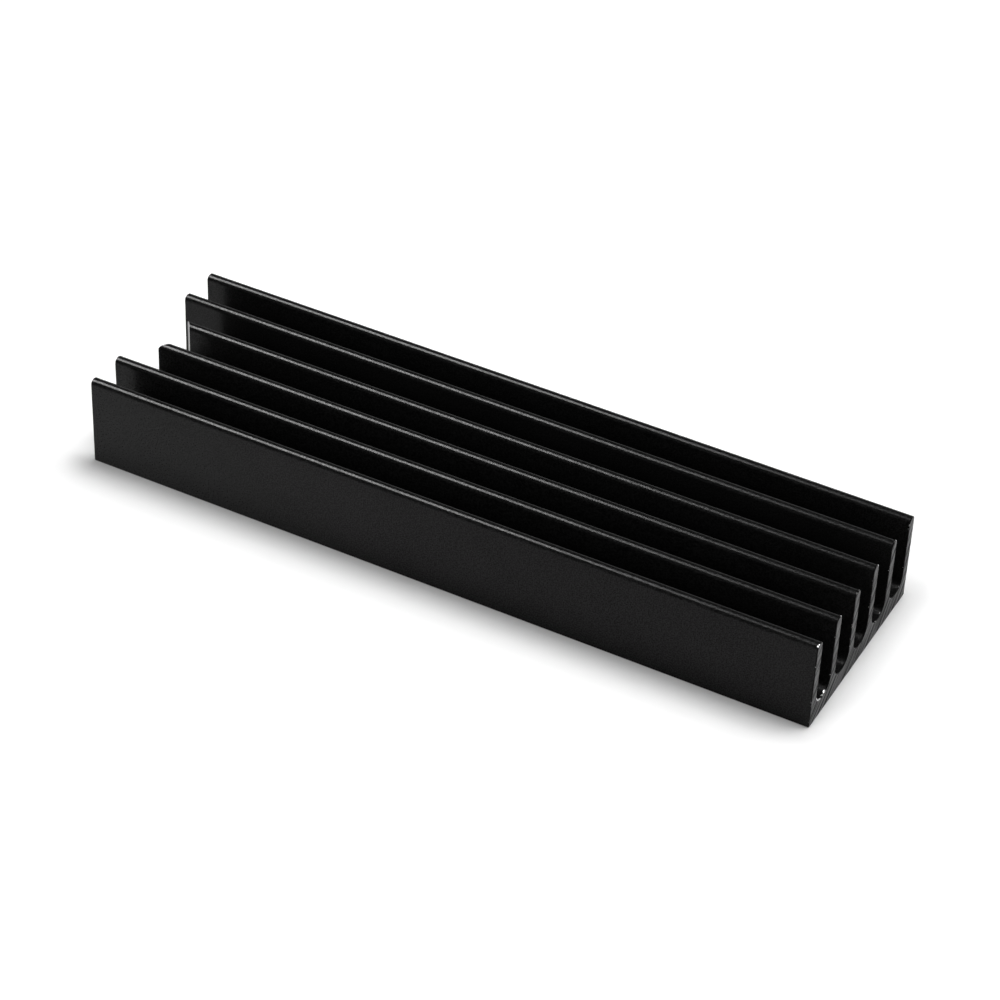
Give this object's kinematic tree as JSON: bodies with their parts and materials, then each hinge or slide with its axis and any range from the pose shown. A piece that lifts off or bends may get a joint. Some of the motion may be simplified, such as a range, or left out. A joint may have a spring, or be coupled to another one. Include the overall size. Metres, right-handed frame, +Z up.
{
  "type": "ssd heat sink",
  "caption": "Extruded finned heat sink with straight full-length fins on a thin base, a flat underside and a round screw notch in one end.",
  "frame": {"origin": "centre of the flat underside", "axes": "+X along the extrusion, from the notched end to the plain sawn end; +Y across the fins; +Z up, from the underside to the fin tips"},
  "size_m": [0.07, 0.02, 0.0088],
  "materials": {
    "black_anodise": "black anodised, fine satin on the drawn faces, sawn at the ends"
  },
  "bodies": {
    "root": {"finned_body": "black_anodise"}
  },
  "joints": []
}
